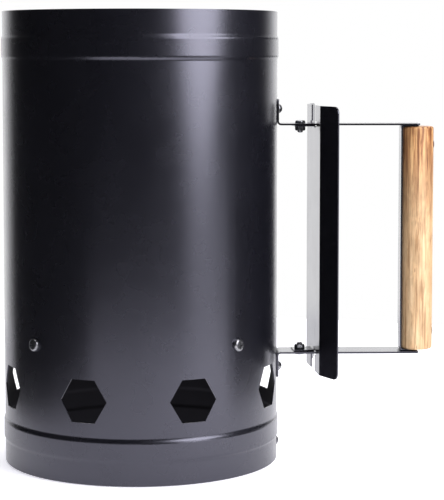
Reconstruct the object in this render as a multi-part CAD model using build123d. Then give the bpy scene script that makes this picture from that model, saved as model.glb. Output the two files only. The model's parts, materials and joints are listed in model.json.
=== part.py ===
from build123d import *

import os
from math import cos, degrees, radians, sin, sqrt

# Chimney charcoal starter: an open sheet-steel tube with air holes and an inner
# grate, and a strap handle with a heat shield and a wooden grip.
# Millimetres. +Z up, +X from the tube's axis to the handle. The origin is the
# centre of the tube's lower rim, on the surface that the tube stands on.

# Driving dimensions: the tube
SHELL_R = 90.0
SHELL_H = 294.0
WALL = 0.8
BAND_RISE = 0.8
BAND_STEP = 2.0
BAND_EASE_R = 3.5
BAND_SPANS = ((14.2, 29.2), (262.9, 278.4))
SEAM_LAP_DEG = 10.0
SEAM_GAP_DEG = 3.5
SEAM_GAP_WIDTH_DEG = 0.25

# Air holes and the fasteners through the wall
HOLE_COUNT = 8
HOLE_FLATS = 27.0
HOLE_Z = 52.2
HOLE_FIRST_DEG = 22.5
SEAM_RIVET_Z = 9.2

# The grate
GRATE_TOP_Z = 90.0
GRATE_R = 87.6
GRATE_SHEET = 1.2
GRATE_BEND = 1.6
GRATE_HOLE_R = 5.5
GRATE_HOLE_PITCH = 16.5
GRATE_HOLES_WITHIN = 76.0
LUG_WIDTH = 16.0
LUG_DROP = 13.0
LUG_ROOT = 4.0
LUG_ANGLES = (43.5, 133.5, 223.5, 313.5)
SCREW_Z = 84.2

# The handle: two arms, mirrored about the middle of its height
ARM_WIDTH = 20.0
ARM_SHEET = 1.2
ARM_BEND = 1.5
ARM_END_CORNER_R = 2.0
ARM_END_X = 183.6
ARM_TOP_Z = 221.1
TAB_END_Z = 237.0
TAB_CORNER_R = 3.0
TAB_ARC_DEG = 16.0
HANDLE_MID_Z = 145.0
ARM_RIVET_Z = 230.6

# The heat shield
SHIELD_SHEET = 0.9
SHIELD_X = 114.2
SHIELD_FLAT = 50.0
SHIELD_WING = 21.7
SHIELD_WING_DEG = 22.0
SHIELD_BEND = 1.5
SHIELD_TOP_Z = 233.0
SHIELD_CORNER_R = 4.5
SHIELD_TURN_DEG = 5.5
SHIELD_TAB_WIDTH = 14.0
SHIELD_TAB_END_X = 100.6
SHIELD_TAB_BEND = 1.1
SHIELD_TAB_CUT = 0.3
SHIELD_SLOT_WIDTH = 22.8
SHIELD_SLOT_HEIGHT = 3.2
SHIELD_BOLT_X = 105.3

# The grip and its spine
SPINE_X = 171.5
SPINE_WIDTH = 13.0
SPINE_SHEET = 1.0
SPINE_BEND = 1.2
SPINE_FLANGE_END_X = 183.0
GRIP_R = 10.8
GRIP_X = 182.8
GRIP_END_RADIUS = 1.6
GRIP_SCREW_Z = 207.0

# Rivets: the shank, and the heads' radii and heights
RIVET_R = 1.6
ARM_RIVET_HEAD = (3.15, 2.2)
SEAM_RIVET_HEAD = (3.0, 1.4)
RIVET_TAIL = (2.5, 1.1)

# Screws, bolts and nuts: shanks, heads (radius, height) and nuts (flats, height)
SCREW_R = 1.95
SCREW_HEAD = (4.0, 2.4)
SCREW_NUT = (7.0, 3.2)
SCREW_REACH = 5.0
SHIELD_BOLT_R = 1.75
SHIELD_BOLT_HEAD = (3.4, 1.8)
SHIELD_NUT = (6.0, 2.9)
SHIELD_BOLT_REACH = 4.4
BOLT_TIP = 0.6
GRIP_SCREW_R = 1.75
GRIP_HEAD_R = 3.1
GRIP_HEAD_SEAT = 2.0
GRIP_HEAD_PROUD = 0.3

# Small clearances that keep neighbouring pieces from overlapping
FIT = 0.05
CURVED_GAP = 0.08
LOOSE_FIT = 0.2

# How far a drill runs past the sheet that it goes through
OVERRUN = 2.0

os.makedirs("parts", exist_ok=True)


def upright_face(points, rounded=()):
    """A closed outline in the XZ plane, with (corner, radius) pairs to round."""
    face = make_face(Polyline(points, close=True))
    for corner, radius in rounded:
        nearest = face.vertices().sort_by_distance(Vector(corner[0], corner[1], 0))[0]
        face = fillet(nearest, radius)
    return Plane.XZ * face


def sector(face, arc_deg):
    """A face in the XZ plane turned about Z, centred on +X."""
    return revolve(face, Axis.Z, arc_deg).rotate(Axis.Z, -arc_deg / 2)


def upright_bar(face, width):
    """A face in the XZ plane given a width along Y, centred on the XZ plane."""
    return extrude(face, width / 2, both=True)


def rod(start, end, radius):
    """A plain round bar from one point to another."""
    span = Vector(*end) - Vector(*start)
    return extrude(Plane(origin=start, z_dir=span) * Circle(radius), span.length)


def across_middle(shape):
    """The lower twin of an upper piece of the handle."""
    return mirror(shape, about=Plane.XY.offset(HANDLE_MID_Z))


def around(shape, angles):
    """The same piece at several angles about the tube's axis."""
    return [shape.rotate(Axis.Z, angle) for angle in angles]


def dome(base, direction, radius, height):
    """A low round head: a ball's cap on a flat base."""
    ball_r = (radius ** 2 + height ** 2) / (2 * height)
    axis = Plane(origin=base, z_dir=direction)
    ball = axis * Pos(0, 0, height - ball_r) * Sphere(ball_r)
    return ball & (axis * extrude(Circle(radius), height))


def pan_head(base, direction, radius, height):
    """A screw's pan head with a rounded rim and a cross recess."""
    recess_length = radius * 1.05
    recess_width = radius * 0.27
    recess_depth = height * 0.55
    head = extrude(Circle(radius), height)
    head = fillet(head.edges().filter_by(GeomType.CIRCLE).sort_by(Axis.Z)[-1], height * 0.62)
    for turn in (0, 90):
        bar = Rot(0, 0, turn) * Box(recess_length, recess_width, 2 * recess_depth)
        head -= Pos(0, 0, height) * bar
    return Plane(origin=base, z_dir=direction) * head


def hexagon_r(flats):
    """A hexagon's corner radius from its size across flats."""
    return flats / 2 / cos(radians(30))


def hex_nut(base, direction, flats, height, bore_r):
    """A hexagon nut with its corners rounded off on the outer face."""
    nut = extrude(RegularPolygon(hexagon_r(flats), 6), height)
    outer_face_r = flats * 0.48
    root_r = outer_face_r + height
    nut &= Cone(root_r, outer_face_r, height, align=(Align.CENTER, Align.CENTER, Align.MIN))
    nut -= extrude(Circle(bore_r), height)
    return Plane(origin=base, z_dir=direction) * nut


def wall_outline(outer_inset, inner_inset):
    """The tube wall's section: a straight wall stepped outwards at each band."""
    steps = [(SHELL_R, 0.0)]
    for low, high in BAND_SPANS:
        steps.append((SHELL_R, low))
        steps.append((SHELL_R + BAND_RISE, low + BAND_STEP))
        steps.append((SHELL_R + BAND_RISE, high - BAND_STEP))
        steps.append((SHELL_R, high))
    steps.append((SHELL_R, SHELL_H))
    outer = [(r - outer_inset, z) for r, z in steps]
    inner = [(r - inner_inset, z) for r, z in reversed(steps)]
    band_corners = outer[1:-1] + inner[1:-1]
    return upright_face(outer + inner, [(corner, BAND_EASE_R) for corner in band_corners])


def shell():
    """The tube: one rolled sheet whose end laps inside the other, with its holes."""
    full_turn = 360 - SEAM_GAP_WIDTH_DEG
    wall = revolve(wall_outline(0, WALL), Axis.Z, full_turn)
    wall = wall.rotate(Axis.Z, SEAM_GAP_DEG + SEAM_GAP_WIDTH_DEG / 2)
    lap = sector(wall_outline(WALL, 2 * WALL), SEAM_LAP_DEG)
    tube = wall + lap
    hole_plane = Plane(origin=(0, 0, HOLE_Z), x_dir=(0, 1, 0), z_dir=(1, 0, 0))
    hexagon = extrude(hole_plane * RegularPolygon(hexagon_r(HOLE_FLATS), 6), SHELL_R + OVERRUN)
    pitch = 360 / HOLE_COUNT
    for hole in around(hexagon, [HOLE_FIRST_DEG + pitch * i for i in range(HOLE_COUNT)]):
        tube -= hole
    inside = SHELL_R - 2 * WALL - OVERRUN
    outside = SHELL_R + OVERRUN
    for z in (SEAM_RIVET_Z, ARM_RIVET_Z, 2 * HANDLE_MID_Z - ARM_RIVET_Z):
        tube -= rod((inside, 0, z), (outside, 0, z), RIVET_R + FIT)
    screw_hole = rod((inside, 0, SCREW_Z), (outside, 0, SCREW_Z), SCREW_R + LOOSE_FIT)
    for hole in around(screw_hole, LUG_ANGLES):
        tube -= hole
    return tube


def wall_rivet(z, seat_r, head):
    """A rivet through the lap at +X: dome head outside, formed tail inside."""
    tail_r, tail_height = RIVET_TAIL
    lap_inner_r = SHELL_R - 2 * WALL
    tail_x = sqrt(lap_inner_r ** 2 - tail_r ** 2)
    rivet = dome((seat_r, 0, z), (1, 0, 0), *head)
    rivet += rod((tail_x, 0, z), (seat_r, 0, z), RIVET_R)
    rivet += dome((tail_x, 0, z), (-1, 0, 0), tail_r, tail_height)
    return rivet


def grate():
    """The charcoal grate: a round-holed disc with four lugs turned down at its rim."""
    low_z = GRATE_TOP_Z - GRATE_SHEET
    disc = Pos(0, 0, low_z) * extrude(Circle(GRATE_R), GRATE_SHEET)
    lug_out = SHELL_R - WALL - CURVED_GAP
    lug_in = lug_out - GRATE_SHEET
    lug_low = GRATE_TOP_Z - LUG_DROP
    root = GRATE_R - LUG_ROOT
    outline = [
        (root, GRATE_TOP_Z),
        (lug_out, GRATE_TOP_Z),
        (lug_out, lug_low),
        (lug_in, lug_low),
        (lug_in, low_z),
        (root, low_z),
    ]
    bends = [((lug_out, GRATE_TOP_Z), GRATE_BEND), ((lug_in, low_z), GRATE_BEND - GRATE_SHEET)]
    lug = sector(upright_face(outline, bends), degrees(LUG_WIDTH / lug_out))
    drill_start = (lug_in - OVERRUN, 0, SCREW_Z)
    drill_end = (lug_out + OVERRUN, 0, SCREW_Z)
    lug -= rod(drill_start, drill_end, SCREW_R + LOOSE_FIT)
    for part in around(lug, LUG_ANGLES):
        disc += part
    return disc - grate_holes(low_z)


def grate_holes(low_z):
    """Round draught holes on a triangular grid."""
    row_pitch = GRATE_HOLE_PITCH * sin(radians(60))
    most = int(GRATE_HOLES_WITHIN / row_pitch) + 1
    places = []
    for row in range(-most, most + 1):
        for column in range(-most, most + 1):
            x = (column + (row % 2) / 2) * GRATE_HOLE_PITCH
            y = row * row_pitch
            if sqrt(x * x + y * y) <= GRATE_HOLES_WITHIN:
                places.append((x, y))
    spots = Locations([Location((x, y, low_z)) for x, y in places])
    punches = [spot * Circle(GRATE_HOLE_R) for spot in spots]
    return extrude(Sketch() + punches, GRATE_SHEET)


def nut_seat_r():
    """How far out a nut can sit flat inside a curved lug."""
    lug_inner_r = SHELL_R - WALL - CURVED_GAP - GRATE_SHEET
    return sqrt(lug_inner_r ** 2 - hexagon_r(SCREW_NUT[0]) ** 2)


def grate_screw():
    """One screw at +X: pan head outside the wall, plain round tip inside."""
    tip_x = nut_seat_r() - SCREW_REACH
    screw = pan_head((SHELL_R, 0, SCREW_Z), (1, 0, 0), *SCREW_HEAD)
    screw += rod((tip_x, 0, SCREW_Z), (SHELL_R, 0, SCREW_Z), SCREW_R)
    return screw


def upper_arm():
    """The upper strap: a curved tab riveted to the tube, then a level run to the grip."""
    tab_in = SHELL_R + CURVED_GAP
    tab_out = tab_in + ARM_SHEET
    low_z = ARM_TOP_Z - ARM_SHEET
    run_start = tab_out + 3 * ARM_BEND
    outline = [
        (tab_in, low_z),
        (run_start, low_z),
        (run_start, ARM_TOP_Z),
        (tab_out, ARM_TOP_Z),
        (tab_out, TAB_END_Z),
        (tab_in, TAB_END_Z),
    ]
    bends = [((tab_in, low_z), ARM_BEND + ARM_SHEET), ((tab_out, ARM_TOP_Z), ARM_BEND)]
    tab = sector(upright_face(outline, bends), TAB_ARC_DEG)
    tab_height = TAB_END_Z - low_z
    tab &= Pos(tab_out, 0, TAB_END_Z - tab_height / 2) * Box(4 * ARM_WIDTH, ARM_WIDTH, tab_height)
    corners = tab.edges().group_by(Axis.Z)[-1].sort_by(Axis.Y)
    tab = fillet([corners[0], corners[-1]], TAB_CORNER_R)
    run_root = tab_out + ARM_BEND
    run_length = ARM_END_X - run_root
    run = Pos(run_root + run_length / 2, 0, low_z + ARM_SHEET / 2) * Box(run_length, ARM_WIDTH, ARM_SHEET)
    end_edges = run.edges().filter_by(Axis.Z).sort_by(Axis.X)[-2:]
    arm = tab + fillet(end_edges, ARM_END_CORNER_R)
    arm -= rod((SHELL_R - OVERRUN, 0, ARM_RIVET_Z), (tab_out + OVERRUN, 0, ARM_RIVET_Z), RIVET_R + FIT)
    return arm - shield_bolt_hole()


def shield_bolt_hole():
    """The upper bolt's hole through the arm and the shield's tab."""
    low = (SHIELD_BOLT_X, 0, ARM_TOP_Z - ARM_SHEET - SHIELD_SHEET - OVERRUN)
    high = (SHIELD_BOLT_X, 0, ARM_TOP_Z + OVERRUN)
    return rod(low, high, SHIELD_BOLT_R + LOOSE_FIT)


def shield_section():
    """The shield's folded section in plan: a flat with a wing at each side."""
    half = SHIELD_FLAT / 2
    reach_x = SHIELD_X + SHIELD_WING * sin(radians(SHIELD_WING_DEG))
    reach_y = half + SHIELD_WING * cos(radians(SHIELD_WING_DEG))
    points = [(reach_x, -reach_y), (SHIELD_X, -half), (SHIELD_X, half), (reach_x, reach_y)]
    line = FilletPolyline(*points, radius=SHIELD_BEND)
    return make_face(offset(line, SHIELD_SHEET, side=Side.RIGHT))


def shield_tab():
    """The tongue lanced from the shield's upper end and folded under the upper arm."""
    top_z = ARM_TOP_Z - ARM_SHEET
    low_z = top_z - SHIELD_SHEET
    face_x = SHIELD_X + SHIELD_SHEET
    root_z = low_z - SHIELD_TAB_BEND - 1
    outline = [
        (SHIELD_TAB_END_X, low_z),
        (SHIELD_X, low_z),
        (SHIELD_X, root_z),
        (face_x, root_z),
        (face_x, top_z),
        (SHIELD_TAB_END_X, top_z),
    ]
    bends = [((face_x, top_z), SHIELD_TAB_BEND + SHIELD_SHEET), ((SHIELD_X, low_z), SHIELD_TAB_BEND)]
    tab = upright_bar(upright_face(outline, bends), SHIELD_TAB_WIDTH)
    return tab - shield_bolt_hole(), root_z


def heat_shield():
    """The sheet between the tube and the hand, turned a little about its bolts."""
    height = 2 * (SHIELD_TOP_Z - HANDLE_MID_Z)
    sheet = extrude(shield_section(), height)
    sheet = Pos(0, 0, SHIELD_TOP_Z - height) * sheet
    corners = [edge for edge in sheet.edges() if abs(edge.length - SHIELD_SHEET) < 0.001]
    sheet = fillet(corners, SHIELD_CORNER_R)
    tab, root_z = shield_tab()
    through = 10 * SHIELD_SHEET
    notch_height = SHIELD_TOP_Z - root_z
    notch_width = SHIELD_TAB_WIDTH + 2 * SHIELD_TAB_CUT
    notch = Pos(SHIELD_X, 0, SHIELD_TOP_Z) * Box(through, notch_width, 2 * notch_height)
    slot_z = ARM_TOP_Z - ARM_SHEET / 2 + SHIELD_TAB_CUT
    slot = Pos(SHIELD_X, 0, slot_z) * Box(through, SHIELD_SLOT_WIDTH, SHIELD_SLOT_HEIGHT)
    cut = notch + slot
    sheet = sheet - cut - across_middle(cut)
    sheet = sheet + tab + across_middle(tab)
    bolt_axis = Axis((SHIELD_BOLT_X, 0, 0), (0, 0, 1))
    return sheet.rotate(bolt_axis, SHIELD_TURN_DEG)


def upper_shield_bolt():
    """The bolt that clamps the shield's tab under the upper arm."""
    seat = (SHIELD_BOLT_X, 0, ARM_TOP_Z)
    shank_end = (SHIELD_BOLT_X, 0, ARM_TOP_Z - ARM_SHEET - SHIELD_SHEET - SHIELD_BOLT_REACH + BOLT_TIP)
    bolt = pan_head(seat, (0, 0, 1), *SHIELD_BOLT_HEAD)
    bolt += rod(shank_end, seat, SHIELD_BOLT_R)
    bolt += dome(shank_end, (0, 0, -1), SHIELD_BOLT_R, BOLT_TIP)
    return bolt


def upper_shield_nut():
    """The nut on the hand side of the shield's upper tab."""
    seat_z = ARM_TOP_Z - ARM_SHEET - SHIELD_SHEET
    return hex_nut((SHIELD_BOLT_X, 0, seat_z), (0, 0, -1), *SHIELD_NUT, SHIELD_BOLT_R + FIT)


def grip_spine():
    """The strip behind the grip, flanged at both ends over the grip's ends."""
    top_z = ARM_TOP_Z - ARM_SHEET
    low_z = 2 * HANDLE_MID_Z - top_z
    inner_x = SPINE_X + SPINE_SHEET
    outline = [
        (SPINE_X, low_z),
        (SPINE_FLANGE_END_X, low_z),
        (SPINE_FLANGE_END_X, low_z + SPINE_SHEET),
        (inner_x, low_z + SPINE_SHEET),
        (inner_x, top_z - SPINE_SHEET),
        (SPINE_FLANGE_END_X, top_z - SPINE_SHEET),
        (SPINE_FLANGE_END_X, top_z),
        (SPINE_X, top_z),
    ]
    bends = [
        ((SPINE_X, low_z), SPINE_BEND + SPINE_SHEET),
        ((SPINE_X, top_z), SPINE_BEND + SPINE_SHEET),
        ((inner_x, low_z + SPINE_SHEET), SPINE_BEND),
        ((inner_x, top_z - SPINE_SHEET), SPINE_BEND),
    ]
    spine = upright_bar(upright_face(outline, bends), SPINE_WIDTH)
    for z in (GRIP_SCREW_Z, 2 * HANDLE_MID_Z - GRIP_SCREW_Z):
        spine -= rod((SPINE_X - OVERRUN, 0, z), (inner_x + OVERRUN, 0, z), GRIP_SCREW_R + FIT)
    return spine


def grip():
    """The turned wooden grip, with a narrow flat where it lies on its spine."""
    top_z = ARM_TOP_Z - ARM_SHEET - SPINE_SHEET
    height = 2 * (top_z - HANDLE_MID_Z)
    wood = Pos(GRIP_X, 0, top_z - height) * extrude(Circle(GRIP_R), height)
    back_x = SPINE_X + SPINE_SHEET
    wood -= Pos(back_x - GRIP_R, 0, HANDLE_MID_Z) * Box(2 * GRIP_R, 2 * GRIP_R, 2 * height)
    end_edges = wood.edges().group_by(Axis.Z)
    wood = fillet(end_edges[0] + end_edges[-1], GRIP_END_RADIUS)
    outer_x = GRIP_X + GRIP_R
    for z in (GRIP_SCREW_Z, 2 * HANDLE_MID_Z - GRIP_SCREW_Z):
        drill_end = (outer_x + OVERRUN, 0, z)
        wood -= rod((back_x - OVERRUN, 0, z), drill_end, GRIP_SCREW_R + FIT)
        wood -= rod((outer_x - GRIP_HEAD_SEAT, 0, z), drill_end, GRIP_HEAD_R + 2 * FIT)
    return wood


def upper_grip_screw():
    """The screw through the grip into its spine, its raised head in a counterbore."""
    seat_x = GRIP_X + GRIP_R - GRIP_HEAD_SEAT
    seat = (seat_x, 0, GRIP_SCREW_Z)
    screw = pan_head(seat, (1, 0, 0), GRIP_HEAD_R, GRIP_HEAD_SEAT + GRIP_HEAD_PROUD)
    return screw + rod((SPINE_X, 0, GRIP_SCREW_Z), seat, GRIP_SCREW_R)


def fasteners_around(one):
    """The four wall fasteners as separate solids of one node."""
    return Compound(children=[Solid(piece.solid().wrapped) for piece in around(one, LUG_ANGLES)])


def pieces():
    """Every node's name with its shape."""
    tab_out = SHELL_R + CURVED_GAP + ARM_SHEET
    arm = upper_arm()
    arm_rivet = wall_rivet(ARM_RIVET_Z, tab_out, ARM_RIVET_HEAD)
    shield_bolt = upper_shield_bolt()
    shield_nut = upper_shield_nut()
    grip_screw = upper_grip_screw()
    grate_nut = hex_nut((nut_seat_r(), 0, SCREW_Z), (-1, 0, 0), *SCREW_NUT, SCREW_R + FIT)
    return {
        "shell": shell(),
        "seam_rivet": wall_rivet(SEAM_RIVET_Z, SHELL_R, SEAM_RIVET_HEAD),
        "grate": grate(),
        "grate_screws": fasteners_around(grate_screw()),
        "grate_nuts": fasteners_around(grate_nut),
        "upper_arm": arm,
        "lower_arm": across_middle(arm),
        "upper_arm_rivet": arm_rivet,
        "lower_arm_rivet": across_middle(arm_rivet),
        "heat_shield": heat_shield(),
        "upper_shield_bolt": shield_bolt,
        "upper_shield_nut": shield_nut,
        "lower_shield_bolt": across_middle(shield_bolt),
        "lower_shield_nut": across_middle(shield_nut),
        "grip_spine": grip_spine(),
        "grip": grip(),
        "upper_grip_screw": grip_screw,
        "lower_grip_screw": across_middle(grip_screw),
    }


for name, shape in pieces().items():
    export_step(shape, "parts/" + name + ".step")
    print(name, len(shape.solids()), round(shape.volume, 1))
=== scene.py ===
import json
from math import pi, radians

import bmesh
import bpy
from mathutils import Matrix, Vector


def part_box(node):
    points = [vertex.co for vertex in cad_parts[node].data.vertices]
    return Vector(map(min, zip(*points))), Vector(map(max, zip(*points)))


# Chimney charcoal starter, in metres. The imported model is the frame: +Z up, +X to the
# handle, origin at the centre of the tube's lower rim.

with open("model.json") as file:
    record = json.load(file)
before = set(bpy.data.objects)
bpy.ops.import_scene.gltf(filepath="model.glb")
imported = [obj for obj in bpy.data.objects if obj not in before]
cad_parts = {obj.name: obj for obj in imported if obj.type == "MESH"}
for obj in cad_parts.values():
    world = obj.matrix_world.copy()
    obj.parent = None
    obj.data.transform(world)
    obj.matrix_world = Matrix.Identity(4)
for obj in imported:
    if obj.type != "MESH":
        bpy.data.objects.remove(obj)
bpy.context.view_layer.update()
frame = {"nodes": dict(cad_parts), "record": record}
nodes = frame["nodes"]

MM = 0.001

# Soft edges of the strap, shield and fasteners, and the faces that count as the tube's inside
EDGE_WIDTH = 0.15 * MM
EDGE_SEGMENTS = 2
SHARP_ANGLE = radians(50)
WELD_REACH = 0.001 * MM
INWARD_FACING = -0.5

# Paint: dark and light tone, roughness and grain size in millimetres
BODY_PAINT = ((0.004, 0.004, 0.006), (0.007, 0.007, 0.010), 0.27, 0.7)
BLACK_PAINT = ((0.004, 0.004, 0.005), (0.007, 0.007, 0.008), 0.24, 0.5)
SOOTY_PAINT = ((0.002, 0.002, 0.002), (0.009, 0.008, 0.008), 0.6, 0.9)
GRATE_COAT = ((0.045, 0.044, 0.043), (0.085, 0.082, 0.08), 0.55, 0.4)
SOOT_GLOSS = 0.25
GRAPHITE_TINT = (0.84, 0.83, 1.0, 1)
GLOSS_SPREAD = 0.03

# Zinc plating
ZINC_TONES = [(0.3, (0.16, 0.16, 0.17)), (0.7, (0.34, 0.34, 0.36))]

# Wood: tones along the streaks low on the grip and near its top, and where the change starts
PALE_WOOD = [
    (0.36, (0.47, 0.265, 0.125)),
    (0.48, (0.70, 0.455, 0.245)),
    (0.64, (0.83, 0.59, 0.345)),
]
RED_WOOD = [
    (0.39, (0.17, 0.055, 0.018)),
    (0.49, (0.42, 0.18, 0.065)),
    (0.62, (0.76, 0.44, 0.19)),
]
RED_STARTS = 0.45
GRAIN_STRETCH = 0.05
GRAIN_LEAN = (0.03, 0.05, 0)
BLOTCH_STRETCH = 0.35
FLECK_STRETCH = 0.16
FLECK_COLOUR = (0.22, 0.10, 0.04)

# Camera
CAMERA_PLACE = Vector((0.0257, -1.1658, 0.2678))
CAMERA_TARGET = Vector((0.0537, 0, 0.1768))
CAMERA_SHIFT = -0.12
LENS_MM = 127.4
SENSOR_MM = 36
FAR_CLIP = 50

# Studio
FLOOR_RADIUS = 0.62
FLOOR_DROP = 0.0005
FLOOR_SEGMENTS = 96
FLOOR_GLOW = (0.92, 0.91, 1, 1)
FLOOR_GLOW_STRENGTH = 0.6
BACKDROP_BAND = [(0.62, 0.01), (0.86, 1.8)]
COOL_WHITE = (0.96, 0.96, 1.0)
CARD_BLACK = (0.004, 0.004, 0.004, 1)

# ---------------------------------------------------------------- node helpers


def new_material(name):
    """An empty node material with its output and a Principled shader."""
    material = bpy.data.materials.new(name)
    material.use_nodes = True
    tree = material.node_tree
    tree.nodes.clear()
    output = tree.nodes.new("ShaderNodeOutputMaterial")
    shader = tree.nodes.new("ShaderNodeBsdfPrincipled")
    tree.links.new(shader.outputs["BSDF"], output.inputs["Surface"])
    return material, tree, shader


def object_space(tree, scale=(1, 1, 1), rotation=(0, 0, 0)):
    """Object coordinates through a mapping, for textures that stay with the piece."""
    coordinates = tree.nodes.new("ShaderNodeTexCoord")
    mapping = tree.nodes.new("ShaderNodeMapping")
    mapping.inputs["Scale"].default_value = scale
    mapping.inputs["Rotation"].default_value = rotation
    tree.links.new(coordinates.outputs["Object"], mapping.inputs["Vector"])
    return mapping.outputs["Vector"]


def noise(tree, vector, scale, detail=2.0, roughness=0.5, distortion=0.0):
    """A noise texture's factor, 0 to 1."""
    texture = tree.nodes.new("ShaderNodeTexNoise")
    texture.inputs["Scale"].default_value = scale
    texture.inputs["Detail"].default_value = detail
    texture.inputs["Roughness"].default_value = roughness
    texture.inputs["Distortion"].default_value = distortion
    tree.links.new(vector, texture.inputs["Vector"])
    return texture.outputs["Fac"]


def ramp(tree, factor, stops):
    """A colour ramp with (position, colour) stops; a number stands for a grey."""
    node = tree.nodes.new("ShaderNodeValToRGB")
    elements = node.color_ramp.elements
    while len(elements) < len(stops):
        elements.new(0.5)
    for element, (position, colour) in zip(elements, stops):
        element.position = position
        element.color = (*colour, 1) if isinstance(colour, tuple) else (colour, colour, colour, 1)
    tree.links.new(factor, node.inputs["Fac"])
    return node.outputs["Color"]


def scaled(tree, factor, low, high):
    """A 0 to 1 factor spread between two values."""
    node = tree.nodes.new("ShaderNodeMapRange")
    node.inputs["To Min"].default_value = low
    node.inputs["To Max"].default_value = high
    tree.links.new(factor, node.inputs["Value"])
    return node.outputs["Result"]


def mixed(tree, factor, first, second, blend="MIX"):
    """Two colours mixed; each is a socket or a colour, and the factor a socket or a number."""
    node = tree.nodes.new("ShaderNodeMix")
    node.data_type = "RGBA"
    node.blend_type = blend
    # A Mix node has sockets for every data type: 0 is the factor, and 6, 7 and output 2 are colours.
    for socket, value in ((node.inputs[0], factor), (node.inputs[6], first), (node.inputs[7], second)):
        if isinstance(value, bpy.types.NodeSocket):
            tree.links.new(value, socket)
        elif isinstance(value, tuple):
            socket.default_value = (*value, 1)
        else:
            socket.default_value = value
    return node.outputs[2]


def bump(tree, shader, height, distance, strength=1.0):
    """Fine relief on the shader's normal."""
    node = tree.nodes.new("ShaderNodeBump")
    node.inputs["Strength"].default_value = strength
    node.inputs["Distance"].default_value = distance
    tree.links.new(height, node.inputs["Height"])
    tree.links.new(node.outputs["Normal"], shader.inputs["Normal"])


# ---------------------------------------------------------------- materials


def painted_steel(name, dark, light, roughness, grain_mm, gloss_level=1.0):
    """Sprayed satin paint: a slight mottle, a fine orange peel and uneven gloss."""
    material, tree, shader = new_material(name)
    space = object_space(tree)
    mottle = noise(tree, space, 18, detail=4)
    tree.links.new(ramp(tree, mottle, [(0.3, dark), (0.7, light)]), shader.inputs["Base Color"])
    gloss = noise(tree, space, 60, detail=3)
    uneven = scaled(tree, gloss, roughness - GLOSS_SPREAD, roughness + GLOSS_SPREAD)
    tree.links.new(uneven, shader.inputs["Roughness"])
    peel = noise(tree, space, 1 / (grain_mm * MM), detail=2)
    bump(tree, shader, peel, 0.02 * MM, 0.5)
    shader.inputs["Specular IOR Level"].default_value = gloss_level
    shader.inputs["Specular Tint"].default_value = GRAPHITE_TINT
    return material


def plated_steel():
    """Zinc-plated fasteners: a soft metallic sheen with faint tool marks."""
    material, tree, shader = new_material("plated_steel")
    space = object_space(tree)
    tone = noise(tree, space, 900, detail=3)
    tree.links.new(ramp(tree, tone, ZINC_TONES), shader.inputs["Base Color"])
    shader.inputs["Metallic"].default_value = 1.0
    tree.links.new(scaled(tree, tone, 0.22, 0.38), shader.inputs["Roughness"])
    bump(tree, shader, noise(tree, space, 2500, detail=2), 0.01 * MM, 0.4)
    return material


def height_blend(tree, node_name, start):
    """A factor that rises from 0, at a share of a node's height, to 1 at its top."""
    height = tree.nodes.new("ShaderNodeSeparateXYZ")
    tree.links.new(object_space(tree), height.inputs["Vector"])
    low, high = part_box(node_name)
    reach = tree.nodes.new("ShaderNodeMapRange")
    reach.interpolation_type = "SMOOTHSTEP"
    reach.inputs["From Min"].default_value = low[2] + start * (high[2] - low[2])
    reach.inputs["From Max"].default_value = high[2]
    tree.links.new(height.outputs["Z"], reach.inputs["Value"])
    return reach.outputs["Result"]


def wood():
    """Turned wood: reddish streaks that fade down the grip, soft blotches, fine grain and a few flecks."""
    material, tree, shader = new_material("wood")
    long_grain = object_space(tree, scale=(1, 1, GRAIN_STRETCH), rotation=GRAIN_LEAN)
    streaks = noise(tree, long_grain, 430, detail=6, roughness=0.65, distortion=1.0)
    redness = height_blend(tree, "grip", RED_STARTS)
    colour = mixed(tree, redness, ramp(tree, streaks, PALE_WOOD), ramp(tree, streaks, RED_WOOD))
    blotch_space = object_space(tree, scale=(1, 1, BLOTCH_STRETCH))
    blotches = noise(tree, blotch_space, 260, detail=3, distortion=0.6)
    colour = mixed(tree, 0.5, colour, ramp(tree, blotches, [(0.38, 0.62), (0.6, 1.0)]), "MULTIPLY")
    fine = noise(tree, long_grain, 900, detail=4, roughness=0.7)
    colour = mixed(tree, 0.6, colour, ramp(tree, fine, [(0.3, 0.78), (0.6, 1.0)]), "MULTIPLY")
    flecks = noise(tree, object_space(tree, scale=(1, 1, FLECK_STRETCH)), 900, detail=0)
    colour = mixed(tree, ramp(tree, flecks, [(0.80, 0.0), (0.86, 0.7)]), colour, FLECK_COLOUR)
    tree.links.new(colour, shader.inputs["Base Color"])
    tree.links.new(scaled(tree, streaks, 0.42, 0.6), shader.inputs["Roughness"])
    bump(tree, shader, fine, 0.06 * MM, 0.5)
    return material


def paint_nodes():
    """Gives each carried-over node its material."""
    finishes = {
        "painted_steel": painted_steel("body_paint", *BODY_PAINT),
        "black_steel": painted_steel("black_paint", *BLACK_PAINT),
        "grate_steel": painted_steel("grate_coat", *GRATE_COAT),
        "plated_steel": plated_steel(),
        "wood": wood(),
    }
    for part in frame["record"]["subparts"]:
        mesh = nodes[part["node"]].data
        mesh.materials.clear()
        mesh.materials.append(finishes[part["material_slot"]])
    soot_inside(nodes["shell"].data, painted_steel("sooty_paint", *SOOTY_PAINT, SOOT_GLOSS))


def soften_edges():
    """Breaks the sharp edges of the strap, shield and fasteners, so that they catch the light."""
    for part in frame["record"]["subparts"]:
        if part["material_slot"] in ("black_steel", "plated_steel"):
            weld = nodes[part["node"]].modifiers.new("join_faces", "WELD")
            weld.merge_threshold = WELD_REACH
            bevel = nodes[part["node"]].modifiers.new("soft_edges", "BEVEL")
            bevel.width = EDGE_WIDTH
            bevel.segments = EDGE_SEGMENTS
            bevel.limit_method = "ANGLE"
            bevel.angle_limit = SHARP_ANGLE


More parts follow.
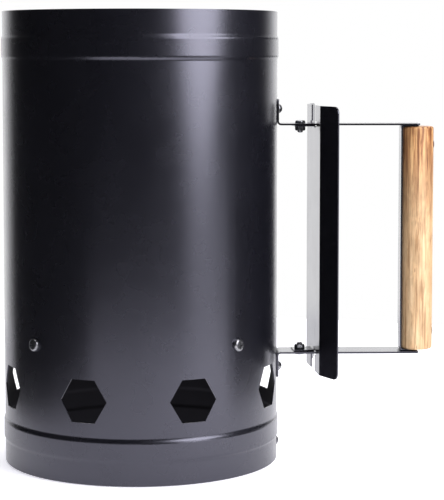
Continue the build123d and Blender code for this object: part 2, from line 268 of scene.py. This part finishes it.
def soot_inside(mesh, material):
    """Gives the tube's inner faces their own matt, sooty finish."""
    mesh.materials.append(material)
    for face in mesh.polygons:
        outwards = Vector((face.center.x, face.center.y, 0)).normalized()
        if face.normal.dot(outwards) < INWARD_FACING:
            face.material_index = len(mesh.materials) - 1


paint_nodes()
soften_edges()

# ---------------------------------------------------------------- studio


def look_at(thing, target):
    """Turns a camera or light so that it faces a point."""
    direction = Vector(target) - thing.location
    thing.rotation_euler = direction.to_track_quat("-Z", "Y").to_euler()


def make_camera():
    """The scene's camera, seeing the object from the front, a little above and to the handle's side."""
    camera = bpy.data.objects.new("camera", bpy.data.cameras.new("camera"))
    bpy.context.scene.collection.objects.link(camera)
    camera.data.lens = LENS_MM
    camera.data.sensor_width = SENSOR_MM
    camera.data.shift_y = CAMERA_SHIFT
    camera.data.clip_end = FAR_CLIP
    camera.location = CAMERA_PLACE
    look_at(camera, CAMERA_TARGET)
    bpy.context.scene.camera = camera


def softbox(name, place, target, width, height, watts, colour=(1, 1, 1)):
    """An elliptical area light facing a point, out of the camera's sight."""
    light = bpy.data.lights.new(name, "AREA")
    light.shape = "ELLIPSE"
    light.size = width
    light.size_y = height
    light.energy = watts
    light.color = colour
    holder = bpy.data.objects.new(name, light)
    bpy.context.scene.collection.objects.link(holder)
    holder.location = place
    holder.visible_camera = False
    look_at(holder, target)


def staged(name, shape):
    """Turns a bmesh into a stage object, which isn't part of the product."""
    mesh = bpy.data.meshes.new(name)
    shape.to_mesh(mesh)
    shape.free()
    thing = bpy.data.objects.new(name, mesh)
    bpy.context.scene.collection.objects.link(thing)
    return thing


def make_floor():
    """A pale, slightly luminous floor disc around the object."""
    disc = bmesh.new()
    bmesh.ops.create_circle(disc, cap_ends=True, radius=FLOOR_RADIUS, segments=FLOOR_SEGMENTS)
    floor = staged("floor", disc)
    floor.location.z = -FLOOR_DROP
    material, tree, shader = new_material("floor_paper")
    shader.inputs["Base Color"].default_value = (0.9, 0.9, 0.9, 1)
    shader.inputs["Roughness"].default_value = 0.9
    shader.inputs["Emission Color"].default_value = FLOOR_GLOW
    shader.inputs["Emission Strength"].default_value = FLOOR_GLOW_STRENGTH
    floor.data.materials.append(material)


def make_world():
    """A dim room, bright in the directions beyond the object, that the camera sees as plain white."""
    world = bpy.data.worlds.new("studio")
    bpy.context.scene.world = world
    world.use_nodes = True
    tree = world.node_tree
    tree.nodes.clear()
    output = tree.nodes.new("ShaderNodeOutputWorld")
    background = tree.nodes.new("ShaderNodeBackground")
    tree.links.new(background.outputs["Background"], output.inputs["Surface"])
    coordinates = tree.nodes.new("ShaderNodeTexCoord")
    separate = tree.nodes.new("ShaderNodeSeparateXYZ")
    tree.links.new(coordinates.outputs["Generated"], separate.inputs["Vector"])
    backdrop = ramp(tree, separate.outputs["Y"], BACKDROP_BAND)
    path = tree.nodes.new("ShaderNodeLightPath")
    seen = mixed(tree, path.outputs["Is Camera Ray"], backdrop, (1.0, 1.0, 1.0))
    tree.links.new(seen, background.inputs["Color"])


def dark_card(name, place_x, span_y, height):
    """A black card beside the object, seen only in its gloss, that darkens the tube's flanks."""
    sheet = bmesh.new()
    bmesh.ops.create_grid(sheet, x_segments=1, y_segments=1, size=0.5)
    card = staged(name, sheet)
    near_y, far_y = span_y
    card.scale = (height, far_y - near_y, 1)
    card.rotation_euler = (0, pi / 2, 0)
    card.location = (place_x, (near_y + far_y) / 2, height / 2)
    card.visible_camera = False
    card.visible_diffuse = False
    card.visible_shadow = False
    material, tree, shader = new_material(name + "_felt")
    shader.inputs["Base Color"].default_value = CARD_BLACK
    shader.inputs["Roughness"].default_value = 1.0
    card.data.materials.append(material)


make_camera()
make_floor()
make_world()
dark_card("left_card", -0.24, (-0.32, 0.11), 0.9)
dark_card("right_card", 0.32, (-0.12, 0.10), 0.4)
softbox("key", (0.58, -0.505, 0.56), (0.04, -0.06, 0.30), 0.70, 0.82, 10.5, COOL_WHITE)
softbox("low_key", (0.64, -0.44, 0.06), (0.04, -0.06, 0.06), 0.54, 0.22, 0.35, COOL_WHITE)
softbox("overhead", (0.1, 0.3, 1.8), (0.1, 0, 0), 1.6, 1.6, 25)
bpy.context.scene.view_settings.view_transform = "Standard"
bpy.context.scene.view_settings.look = "None"
